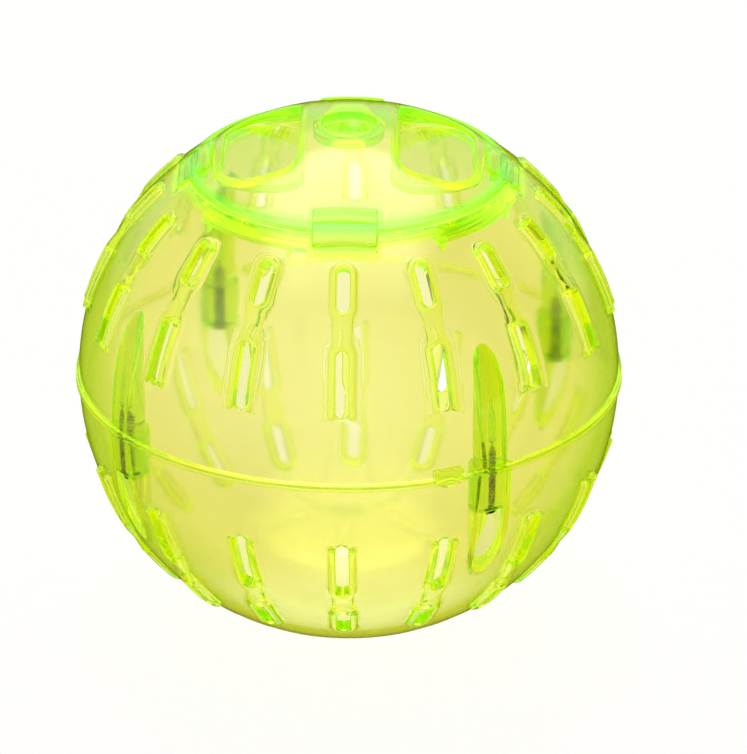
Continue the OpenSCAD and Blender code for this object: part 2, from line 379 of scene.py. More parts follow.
class Graph:
    """The node tree of one material or of the world."""

    def __init__(self, owner: Material | bpy.types.World) -> None:
        """Starts an empty node tree in its owner."""
        owner.use_nodes = True
        self.owner = owner
        self.nodes = owner.node_tree.nodes
        self.nodes.clear()

    def node(self, kind: str, settings: dict | None = None, **sockets: object) -> bpy.types.Node:
        """Adds a node, sets it up and feeds its sockets.

        Args:
            kind: The node's type.
            settings: Its properties, and a ramp's stops under the key "stops".
            **sockets: Values or links by the socket's name, with _ for a space, or i0, i1 for a place.

        Returns:
            The node.
        """
        made = self.nodes.new(kind)
        for key, value in (settings or {}).items():
            if key == "stops":
                self.stops(made.color_ramp, value)
            else:
                setattr(made, key, value)
        for key, value in sockets.items():
            place = int(key[1:]) if key[0] == "i" and key[1:].isdigit() else key.replace("_", " ")
            self.feed(made.inputs[place], value)
        return made

    def stops(self, ramp: bpy.types.ColorRamp, stops: list[tuple[float, tuple]]) -> None:
        """Sets a ramp's stops.

        Args:
            ramp: The ramp to set.
            stops: The place and the colour of each stop.
        """
        while len(ramp.elements) < len(stops):
            ramp.elements.new(1.0)
        for element, (place, colour) in zip(ramp.elements, stops):
            element.position = place
            element.color = (*colour, 1.0)

    def feed(self, socket: bpy.types.NodeSocket, value: object) -> None:
        """Links a socket to another one, or sets its value.

        Args:
            socket: The input to feed.
            value: A graph value, an output or a plain value.
        """
        if isinstance(value, Value):
            value = value.socket
        if isinstance(value, bpy.types.NodeSocket):
            self.owner.node_tree.links.new(value, socket)
        elif isinstance(value, tuple) and socket.type == "RGBA":
            socket.default_value = (*value, 1.0)[:4]
        else:
            socket.default_value = value

    def math(self, operation: str, first: object, second: object) -> Value:
        """Adds a Math node on two numbers."""
        made = self.node("ShaderNodeMath", {"operation": operation}, i0=first, i1=second)
        return Value(self, made.outputs[0])

    def ramp(self, value: Value, low: float, high: float) -> Value:
        """Gives (value - low) / (high - low), kept between 0 and 1."""
        made = self.node("ShaderNodeMapRange", i0=value, i1=low, i2=high)
        return Value(self, made.outputs[0])

    def depth(self) -> Value:
        """Gives the depth that the piece's mesh carries: how deep the plastic's colour and its painted glow
        are, and where the steel's painted shade lies.
        """
        made = self.node("ShaderNodeAttribute", {"attribute_name": DEPTH_GLOW_SHADE})
        return Value(self, made.outputs["Fac"])

    def noise(self, scale: float, detail: float, stretch: Triple = (1, 1, 1)) -> Value:
        """Gives noise over the piece's own coordinates, stretched by factors per axis."""
        place = self.node("ShaderNodeTexCoord").outputs["Object"]
        mapped = self.node("ShaderNodeMapping", Vector=place, Scale=stretch).outputs[0]
        made = self.node("ShaderNodeTexNoise", Vector=mapped, Scale=scale, Detail=detail)
        return Value(self, made.outputs[0])

    def height(self) -> Value:
        """Gives the height over the seam in the piece's own coordinates, in metres."""
        place = self.node("ShaderNodeTexCoord").outputs["Object"]
        return Value(self, self.node("ShaderNodeSeparateXYZ", Vector=place).outputs["Z"])

    def tint(self, factor: Value, first: object, second: object) -> bpy.types.NodeSocket:
        """Mixes two colours by a factor."""
        made = self.node("ShaderNodeMix", {"data_type": "RGBA"}, i0=factor, i6=first, i7=second)
        return made.outputs[2]


@dataclass(frozen=True)
class ClearPlastic:
    """Moulded clear plastic: tinted glass with soft waves, and colour that grows with depth.

    The absorption colour and density are per metre of plastic. Collars, edges and ribs
    wear a deeper tint, by the depth that their mesh carries. Every face gives off a faint
    painted lime glow, and a stronger one by that depth raised to a power, painted for the
    light that such plastic collects in its edges. The wall takes a painted shade, a deeper
    and darker tint where it is seen edge-on towards the ball's outline, but not low down
    near the floor.
    Lamps shine through it, as through a real clear ball, so that it throws next to no
    shadow.
    """

    name: str
    tint: Triple = (0.92, 0.895, 0.985)
    cloud: Triple = (0.905, 0.885, 0.945)
    deep: Triple = (0.76, 0.95, 0.02)
    # Painted shade: the deeper, darker tint that the wall takes where it is seen edge-on
    painted_limb_shade: Triple = (0.42, 0.84, 0.02)
    roughness: float = 0.07
    index: float = 1.49
    absorption: Triple = (0.98, 0.995, 0.05)
    density: float = 380.0
    wave: float = 0.12
    shade: Triple = (0.997, 1.0, 0.985)
    # Painted glow: light that the plastic gives off itself, faint on every face and strong where the depth is
    # high
    painted_plain_glow: Triple = (0.13, 0.115, 0.0)
    painted_deep_glow: Triple = (0.5, 1.0, 0.1)
    painted_glow_strength: float = 0.12
    painted_glow_power: float = 8.0
    limb_shade_facing: tuple[float, float] = (0.42, 0.95)
    limb_shade_heights: tuple[float, float] = (-0.064, -0.03)

    def make(self) -> Material:
        """Builds the material.

        Returns:
            The material, with its surface and its volume.
        """
        graph = Graph(bpy.data.materials.new(self.name))
        flow = graph.noise(22.0, 3.0)
        haze = graph.noise(90.0, 4.0, (1.0, 1.0, 0.4))
        depth = graph.depth()
        # Painted shade: Layer Weight facing mixes the darker tint in towards the outline, faded out low down
        # near the floor
        facing = Value(graph, graph.node("ShaderNodeLayerWeight", Blend=0.5).outputs["Facing"])
        limb_shade_mask = graph.ramp(facing, *self.limb_shade_facing) * graph.ramp(graph.height(), *self.limb_shade_heights)
        clear = graph.tint(limb_shade_mask, graph.tint(flow, self.tint, self.cloud), self.painted_limb_shade)
        bump = graph.node("ShaderNodeBump", Strength=self.wave, Distance=0.0004, Height=flow)
        # The emission is a painted lime glow, mixed from the faint one to the strong one by the depth to a
        # power
        gloss = graph.node(
            "ShaderNodeBsdfPrincipled",
            Base_Color=graph.tint(depth, clear, self.deep),
            Roughness=self.roughness * (0.6 + 0.8 * haze),
            IOR=self.index,
            Transmission_Weight=1.0,
            Emission_Color=graph.tint(depth**self.painted_glow_power, self.painted_plain_glow, self.painted_deep_glow),
            Emission_Strength=self.painted_glow_strength,
            Normal=bump.outputs[0],
        )
        through = graph.node("ShaderNodeBsdfTransparent", Color=self.shade)
        shadow = graph.node("ShaderNodeLightPath").outputs["Is Shadow Ray"]
        surface = graph.node("ShaderNodeMixShader", i0=shadow, i1=gloss.outputs[0], i2=through.outputs[0])
        volume = graph.node("ShaderNodeVolumeAbsorption", Color=self.absorption, Density=self.density)
        graph.node("ShaderNodeOutputMaterial", Surface=surface.outputs[0], Volume=volume.outputs[0])
        return graph.owner


@dataclass(frozen=True)
class DarkSteel:
    """Dark plated screw steel, mottled on the thread, with painted shade that makes the head nearly black."""

    name: str = "dark plated steel"
    dark: Triple = (0.12, 0.12, 0.09)
    bright: Triple = (0.62, 0.62, 0.55)
    # Painted shade: the head is coloured nearly black for the shadow that it lies in
    head: Triple = (0.03, 0.03, 0.025)
    roughness: float = 0.34

    def make(self) -> Material:
        """Builds the material.

        Returns:
            The material.
        """
        graph = Graph(bpy.data.materials.new(self.name))
        streaks = graph.ramp(graph.noise(700.0, 4.0, (1.0, 1.0, 0.5)), 0.35, 0.65)
        bump = graph.node("ShaderNodeBump", Strength=0.2, Distance=0.00005, Height=streaks)
        # The depth paints the head nearly black, as painted shade
        steel = graph.node(
            "ShaderNodeBsdfPrincipled",
            Base_Color=graph.tint(graph.depth(), graph.tint(streaks, self.dark, self.bright), self.head),
            Roughness=self.roughness * (0.7 + 0.6 * streaks),
            Metallic=0.9,
            Normal=bump.outputs[0],
        )
        graph.node("ShaderNodeOutputMaterial", Surface=steel.outputs[0])
        return graph.owner


@dataclass(frozen=True)
class PaleFloor:
    """The matt sheet that the ball lies on, white by its own light as on a light table."""

    name: str = "pale floor"
    colour: Triple = (0.12, 0.118, 0.116)
    shade: Triple = (0.14, 0.14, 0.138)
    light: Triple = (1.0, 0.99, 0.98)
    strength: float = 0.91

    def make(self) -> Material:
        """Builds the material.

        Returns:
            The material.
        """
        graph = Graph(bpy.data.materials.new(self.name))
        cloud = graph.noise(3.0, 2.0)
        paper = graph.node(
            "ShaderNodeBsdfPrincipled",
            Base_Color=graph.tint(cloud, self.colour, self.shade),
            Roughness=0.9,
            Emission_Color=self.light,
            Emission_Strength=self.strength,
        )
        paper.inputs["Specular IOR Level"].default_value = 0.1
        graph.node("ShaderNodeOutputMaterial", Surface=paper.outputs[0])
        return graph.owner


# The ball


@dataclass(frozen=True)
class BallSizes:
    """Sizes that both halves and the lid share, in millimetres and degrees."""

    radius: float = 70.0
    wall: float = 2.0
    lip_proud: float = 0.8
    lip_height: float = 1.0
    seam_gap: float = 0.03
    mouth_radius: float = 41.0
    tower_azimuth: float = 33.75
    tower_radius: float = 65.6
    tower_clip: float = 68.9
    tower_play: float = 0.02
    seat_depth: float = 12.0
    pocket_radius: float = 3.7
    snug_radius: float = 0.5
    shelf_top: float = 52.75
    lug_width: float = 16.4
    lug_outward: float = 2.6
    lug_corner: float = 1.2
    lid_gap: float = 0.3

    @property
    def inner(self) -> float:
        """Radius of the wall's inner face."""
        return self.radius - self.wall

    @property
    def tower_turns(self) -> Array:
        """Directions of the four towers in radians, from the front right round."""
        return np.radians(self.tower_azimuth + 90 * np.arange(4))

    def tower_ring(self, azimuth: float, around: Array, radius: Array | float, height: float | None) -> Array:
        """Gives one ring round a tower's axis, cut off by a sphere inside the wall.

        The sphere's height over a point is sqrt(clip^2 - x^2 - y^2).

        Args:
            azimuth: The tower's direction in radians.
            around: The turns of the ring's points in radians.
            radius: The ring's radius, or one for each point.
            height: The level that the ring lies on, or None for a ring on the sphere.

        Returns:
            Points of shape (turns, 3).
        """
        aside = radius * np.sin(around)
        outward = self.tower_radius + radius * np.cos(around)
        limit = np.minimum(1, (self.tower_clip - self.tower_play) / np.hypot(aside, outward))
        aside, outward = aside * limit, outward * limit
        level = np.sqrt(self.tower_clip**2 - aside**2 - outward**2)
        return turned(azimuth, outward, aside, level if height is None else np.minimum(level, height))


@dataclass
class SlottedHalf:
    """The wall of one half of the ball, with its seam lip and its columns of collared slots.

    It is built with the seam below and turned over for the lower half.
    """

    ball: BallSizes
    half: Half
    columns: int = 16
    column_spread: float = 6.5
    slot_half: float = 1.6
    long_slot: tuple[float, float] = (14.8, 28.7)
    short_slot: tuple[float, float] = (36.7, 46.0)
    collar_half: float = 3.65
    collar_height: float = 1.2
    waist_half: float = 2.7
    waist_height: float = 0.8
    waist_blend: float = 1.6
    waist_depth: float = 0.4
    waist_edge: float = 0.9
    waist_fade: float = 2.5
    collar_depth: float = 0.85
    leg_reach: float = 0.7
    fillet: float = 0.7
    inner_fillet: float = 0.55
    lip_round: float = 0.28
    lip_foot: float = 0.12
    lip_depth: float = 0.5
    seam_flat: float = 69.2
    seam_bevel: float = 0.1
    slot_depth: float = 0.1
    mouth_round: float = 0.25
    mouth_gain: float = 1.6
    mouth_fade: float = 2.8
    bands: tuple[float, float, float, float, float] = (2.0, 11.0, 32.7, 48.6, 90.0)
    last_ring: float = 88.5
    pocket_rounds: tuple[float, float] = (0.2, 0.1)

    def __post_init__(self) -> None:
        """Works out the shared azimuths and latitudes of the grid."""
        step = 360 / self.columns
        spread = self.column_spread
        # The columns crowd where the waist's edge crosses the middle of the bridge
        aside = np.array([0.9, 1.65, 2.2, 2.5, 2.63, 2.78, 3.3, 4.2, 5.3, spread])
        self.column_turns = np.radians(np.concatenate([-aside[::-1], [0.0], aside]))
        self.strip_turns = np.radians(np.linspace(spread, step - spread, 9))
        self.middles = np.radians(np.arange(self.columns) * step)
        once = np.concatenate([self.column_turns[:-1], self.strip_turns[:-1]])
        self.all_turns = (self.middles[:, None] + once[None, :]).ravel()
        low, foot, bridge, crown, _ = (math.radians(angle) for angle in self.bands)
        self.foot_rows = np.linspace(low, foot, 6)
        self.long_rows = np.linspace(foot, bridge, 25)
        self.short_rows = np.linspace(bridge, crown, 17)

    def slot_ends(self, slot: tuple[float, float]) -> tuple[float, float]:
        """Gives the centres of a slot's round ends, in millimetres along the meridian."""
        low, high = (math.radians(angle) * self.ball.radius for angle in slot)
        return low + self.slot_half, high - self.slot_half

    def arch(self, inside: Array, half_width: float) -> Array:
        """Gives the section of a collar's full round back, sqrt(1 - (1 - inside / half)^4).

        Args:
            inside: Distances in from the collar's foot.
            half_width: Half the collar's width.

        Returns:
            Shares of its height, zero outside its foot.
        """
        return np.sqrt(1 - (1 - np.clip(inside / half_width, 0, 1)) ** 4)

    def outlined(self, flat: Array) -> Array:
        """Gives how far points of the chart lie inside the collars' common outline.

        The long collar, the waist and the short collar are each a half width less the
        distance from a middle line. They flow into each other by the rounded greatest
        value max(a, b) + blend / 4 * (1 - |a - b| / blend)^2.

        Args:
            flat: Points of the chart, of shape (..., 2).

        Returns:
            Distances, negative outside.
        """
        along, across = flat[..., 0], flat[..., 1]
        _, high = self.slot_ends(self.long_slot)
        start, end = self.slot_ends(self.short_slot)
        lines = (
            (-math.inf, high, self.collar_half),
            (high, start, self.waist_half),
            (start, end, self.collar_half),
        )
        inside = np.full(along.shape, -self.ball.radius)
        for first, last, half in lines:
            other = half - np.hypot(along - np.clip(along, first, last), across)
            near = np.clip(1 - np.abs(inside - other) / self.waist_blend, 0, 1)
            inside = np.maximum(inside, other) + self.waist_blend / 4 * near**2
        return inside

    def collar(self, flat: Array) -> tuple[Array, Array]:
        """Gives the collar's height over points of the chart, and how deep its colour is.

        The back's section follows the outline and is lower along the waist. The long
        slot's collar opens towards the seam in two rounded legs.

        Args:
            flat: Points of the chart, of shape (..., 2).

        Returns:
            Heights above the sphere, and depths of colour.
        """
        along, across = flat[..., 0], np.abs(flat[..., 1])
        low, high = self.slot_ends(self.long_slot)
        start, _ = self.slot_ends(self.short_slot)
        inside = self.outlined(flat)
        off = np.abs(along - (high + start) / 2) / ((start - high) / 2 - self.slot_half)
        bridge = np.clip(1 - off, 0, 1) ** 2 * (3 - 2 * np.clip(1 - off, 0, 1))
        level = self.collar_height + (self.waist_height - self.collar_height) * bridge
        middle = (self.slot_half + self.collar_half) / 2
        tip = np.hypot(across - middle, np.minimum(along - low + self.leg_reach, 0))
        leg = self.arch(self.collar_half - middle - tip, self.collar_half - middle)
        whole = np.clip((along - low + self.leg_reach) / (2 * self.leg_reach), 0, 1)
        back = whole * self.arch(inside, self.collar_half) + (1 - whole) * leg
        pale = np.clip(inside - self.waist_edge, 0, 1) * np.clip(self.waist_fade * (1 - off), 0, 1)
        return level * back, self.collar_depth * back * (1 - (1 - self.waist_depth) * pale)

    def slot_cell(self, surface: Surface, azimuth: float, slot: tuple[float, float], rows: Array) -> None:
        """Adds the wall round one slot, from the edge of its cell in to the slot and back out.

        Every point of the cell's edge is joined to the slot's nearest point by a line across
        the chart, and the wall's section follows that line: outer face, rounded edge, the
        slot's wall, and the inner face.

        Args:
            surface: Where the grid is added.
            azimuth: The column's direction in radians.
            slot: Latitudes of the slot's ends in degrees.
            rows: Latitudes of the cell's rows in radians.
        """
        ball = self.ball
        chart = Chart(ball.radius, azimuth)
        loop = frame_loop(self.column_turns + azimuth, rows)
        edge = chart.flat(loop[:, 0], loop[:, 1])
        low, high = self.slot_ends(slot)
        spine = np.stack([np.clip(edge[:, 0], low, high), np.zeros(len(edge))], -1)
        length = np.linalg.norm(edge - spine, axis=1)
        outward = (edge - spine) / length[:, None]
        contour = spine + outward * self.slot_half
        span = length - self.slot_half
        near = np.broadcast_to(np.array([0, 0.05, 0.17, 0.38, 0.7])[:, None], (5, len(edge)))
        steps = near[-1] + (span - near[-1]) * np.linspace(0, 1, 200)[:, None]
        height, _ = self.collar(contour[None] + outward[None] * steps[:, :, None])
        foot = np.clip((steps * (height > 0)).max(0), near[-1] + 0.3, span - 0.3)
        ridge = near[-1] + (foot - near[-1]) * np.array([0.25, 0.5, 0.7, 0.85, 0.95, 1])[:, None]
        far = foot + (span - foot) * np.array([0.1, 0.5, 1])[:, None]
        distance = np.concatenate([near, ridge, far])
        flat = contour[None] + outward[None] * distance[:, :, None]
        raised, depth = self.collar(flat)
        outer = chart.direction(flat) * (ball.radius + raised - edge_drop(distance, self.fillet))[..., None]
        inner_far = near[-1] + (span[None] - near[-1]) * np.array([0.4, 0.7, 1])[:, None]
        inner_distance = np.concatenate([near, inner_far])
        inner_flat = contour[None] + outward[None] * inner_distance[:, :, None]
        inner_height = ball.inner + edge_drop(inner_distance, self.inner_fillet)
        inner = chart.direction(inner_flat) * inner_height[..., None]
        wall = between(outer[0], inner[0], np.array([0.5]))
        edges = np.full((len(wall), len(edge)), self.slot_depth)
        rounded = self.slot_depth * (inner_distance < self.inner_fillet)
        surface.grid(
            np.concatenate([outer[::-1], wall, inner]),
            closed=True,
            depth=np.concatenate([depth[::-1], edges, rounded]),
        )

    def plain(self, surface: Surface, turns: Array, rows: Array) -> None:
        """Adds a plain piece of the wall, its outer and its inner face.

        Args:
            surface: Where the grids are added.
            turns: Azimuths of its columns in radians.
            rows: Latitudes of its rows in radians.
        """
        patch = towards(turns[None, :], rows[:, None])
        surface.grid(patch * self.ball.radius)
        surface.grid(patch * self.ball.inner)

    def seam(self, surface: Surface) -> None:
        """Adds the seam's flat face and its lip, one section carried all the way round.

        Args:
            surface: Where the grids are added.
        """
        ball, rim, gap, bevel = self.ball, self.lip_round, self.ball.seam_gap, self.seam_bevel
        proud = ball.radius + ball.lip_proud - rim
        low = math.radians(self.bands[0])
        foot = math.asin((ball.lip_height + self.lip_foot) / ball.radius)
        section = [(ball.inner * math.cos(low), ball.inner * math.sin(low)), (ball.inner, 0.5)]
        section += [(ball.inner, gap + bevel), (ball.inner + bevel, gap), (self.seam_flat, gap)]
        for middle, turns in ((gap + rim, (-90, -60, -30, 0)), (ball.lip_height - rim, (0, 30, 60, 90))):
            for turn in np.radians(turns):
                section.append((proud + rim * math.cos(turn), middle + rim * math.sin(turn)))
        section.append((ball.radius + bevel, ball.lip_height))
        for angle in (foot, (foot + low) / 2, low):
            section.append((ball.radius * math.cos(angle), ball.radius * math.sin(angle)))
        radii, heights = np.hsplit(np.array(section), 2)
        depth = np.where(radii > ball.radius + bevel / 2, self.lip_depth, 0.0)
        surface.grid(upright(self.all_turns[None, :], radii, heights), closed=True, depth=depth)

    def pocket_contour(self, radius: float, azimuth: float, upper: int, round_: int) -> Array:
        """Gives the line where a screw pocket's cylinder meets a sphere, closed by its flat top.

        Args:
            radius: Radius of the sphere.
            azimuth: Direction of the tower in radians.
            upper: Number of points along the flat top.
            round_: Number of points along the cylinder.

        Returns:
            Points of shape (upper + round_, 3), built with the seam below.
        """
        ball, pocket = self.ball, self.ball.pocket_radius
        reach = math.sqrt(radius**2 - ball.seat_depth**2)
        turn = math.acos((reach**2 - ball.tower_radius**2 - pocket**2) / (2 * ball.tower_radius * pocket))
        side = pocket * math.sin(turn)
        across = np.linspace(-side, side, upper + 1)[:-1]
        around = np.linspace(turn, 2 * math.pi - turn, round_ + 1)[:-1]
        aside = np.concatenate([across, pocket * np.sin(around)])
        outward = np.concatenate([np.sqrt(reach**2 - across**2), ball.tower_radius + pocket * np.cos(around)])
        return turned(azimuth, outward, aside, np.sqrt(radius**2 - (aside**2 + outward**2)))

    def pocket_cell(self, surface: Surface, azimuth: float) -> None:
        """Adds the wall round the opening of one screw pocket.

        Args:
            surface: Where the grid is added.
            azimuth: Direction of the tower in radians.
        """
        ball = self.ball
        rows = np.concatenate([self.foot_rows[:-1], self.long_rows])
        turns = self.strip_turns - self.strip_turns.mean() + azimuth
        loop = frame_loop(turns, rows)
        edge = towards(loop[:, 0], loop[:, 1])
        upper = len(turns) - 1
        levels = [
            self.pocket_contour(radius, azimuth, upper, len(edge) - upper)
            for radius in np.linspace(ball.radius, ball.inner, 7)
        ]

        def face(contour: Array, radius: float, fillet: float) -> Array:
            """Spreads a contour out to the cell's edge over a sphere.

            Args:
                contour: The pocket's edge on the sphere.
                radius: The sphere's radius.
                fillet: Rounding along the edge, below 0 on the inner face.

            Returns:
                Points of shape (shares, turns, 3).
            """
            start = contour / np.linalg.norm(contour, axis=1)[:, None]
            span = np.linalg.norm(edge - start, axis=1) * radius
            near = np.array([0, 0.05, 0.15, 0.3])[:, None] / span[None]
            far = near[-1][None] + (1 - near[-1][None]) * np.array([0.3, 0.65, 1])[:, None]
            shares = np.concatenate([near, far])
            spread = between(start, edge, shares)
            spread /= np.linalg.norm(spread, axis=-1)[..., None]
            return spread * (radius - np.sign(fillet) * edge_drop(shares * span, abs(fillet)))[..., None]

        over, under = self.pocket_rounds
        outer = face(levels[0], ball.radius, over)
        inner = face(levels[-1], ball.inner, -under)
        rows = np.concatenate([outer[::-1], np.stack(levels[1:-1]), inner])
        depth = np.zeros((len(rows), 1))
        depth[len(outer) - 2 : len(rows) - len(inner) + 2] = 1.0
        surface.grid(rows, closed=True, depth=depth)

    def pole(self, surface: Surface) -> None:
        """Closes the wall over the pole with rings that shrink to a point.

        Args:
            surface: Where the grids are added.
        """
        rows = np.radians(np.concatenate([np.linspace(self.bands[3], self.last_ring, 11), [90.0]]))
        patch = towards(self.all_turns[None, :], rows[:, None])
        surface.grid(patch * self.ball.radius, closed=True)
        surface.grid(patch * self.ball.inner, closed=True)

    def mouth_edge(self) -> Array:
        """Gives the mouth's edge from above: a circle with four square notches for the lugs.

        One eighth of the edge is laid out as a line with a rounded corner, and sampled by a
        mix of its turn and its length, so that the notches' walls get their share of points.

        Returns:
            Points of shape (azimuths, 2), one for each of the grid's azimuths.
        """
        ball = self.ball
        end = ball.mouth_radius + ball.lug_outward + ball.lid_gap
        half = ball.lug_width / 2 + ball.lid_gap
        corner = ball.lug_corner + ball.lid_gap
        turns = np.linspace(0, math.pi / 2, 24)
        straight = np.linspace(0, half - corner, 24)[:-1]
        outline = [np.stack([np.full(23, end), straight], -1)]
        outline += [np.array([end - corner, half - corner]) + corner * circle(turns)]
        begin = math.asin(half / ball.mouth_radius)
        outline += [ball.mouth_radius * circle(np.linspace(begin, math.pi / 4, 90))]
        line = np.concatenate(outline)
        turn = np.arctan2(line[:, 1], line[:, 0]) / (math.pi / 4)
        length = np.concatenate([[0], np.cumsum(np.linalg.norm(np.diff(line, axis=0), axis=1))])
        measure = 0.6 * turn + 0.4 * length / length[-1]
        quarter = self.all_turns % (math.pi / 2)
        share = (math.pi / 4 - np.abs(math.pi / 4 - quarter)) / (math.pi / 4)
        past = quarter > math.pi / 4
        outward = np.interp(share, measure, line[:, 0])
        aside = np.interp(share, measure, line[:, 1]) * np.where(past, -1, 1)
        notch = self.all_turns - quarter + past * (math.pi / 2)
        return turned(notch, outward, aside, 0.0)[:, :2]

    def mouth(self, surface: Surface) -> None:
        """Adds the crown of the upper wall, from the last slots in to the mouth's edge.

        Args:
            surface: Where the grids are added.
        """
        ball = self.ball
        edge = self.mouth_edge()
        crown = math.radians(self.bands[3])
        rings, depths = [], []
        for radius, fillet in ((ball.radius, self.mouth_round), (ball.inner, NO_FILLET)):
            ring = towards(self.all_turns, np.array(crown))[:, :2] * radius
            span = np.linalg.norm(edge - ring, axis=1)
            shares = np.concatenate([np.array([0, 0.35, 0.7]), 1 - np.array([0.3, 0.14, 0.04, 0]) / 3])
            flat = between(ring, edge, shares)
            away = (1 - shares)[:, None] * span[None]
            depths.append(np.clip(self.mouth_gain * (1 - away / self.mouth_fade), 0, 1))
            rings.append(raised(flat, np.sqrt(radius**2 - (flat**2).sum(-1)) - edge_drop(away, fillet)))
        wall = between(rings[0][-1], rings[1][-1], np.array([0.5]))
        surface.grid(
            np.concatenate([rings[0], wall, rings[1][::-1]]),
            closed=True,
            depth=np.concatenate([depths[0], np.ones((1, len(edge))), depths[1][::-1]]),
        )

    def whole(self) -> Surface:
        """Builds the half's whole wall, open at the mouth above or closed over the pole below.

        The lower half's strips at the towers hold the screw pockets, and it is turned over.

        Returns:
            The wall's grids.
        """
        surface = Surface()
        lower = self.half is Half.LOWER
        self.seam(surface)
        for middle in self.middles:
            self.plain(surface, self.column_turns + middle, self.foot_rows)
            self.slot_cell(surface, middle, self.long_slot, self.long_rows)
            self.slot_cell(surface, middle, self.short_slot, self.short_rows)
            strip = self.strip_turns + middle
            self.plain(surface, strip, self.short_rows)
            if lower and np.abs(self.ball.tower_turns - strip.mean()).min() < SAME_TURN:
                self.pocket_cell(surface, strip.mean())
            else:
                self.plain(surface, strip, self.foot_rows)
                self.plain(surface, strip, self.long_rows)
        if lower:
            self.pole(surface)
            surface.turned_over()
        else:
            self.mouth(surface)
        return surface


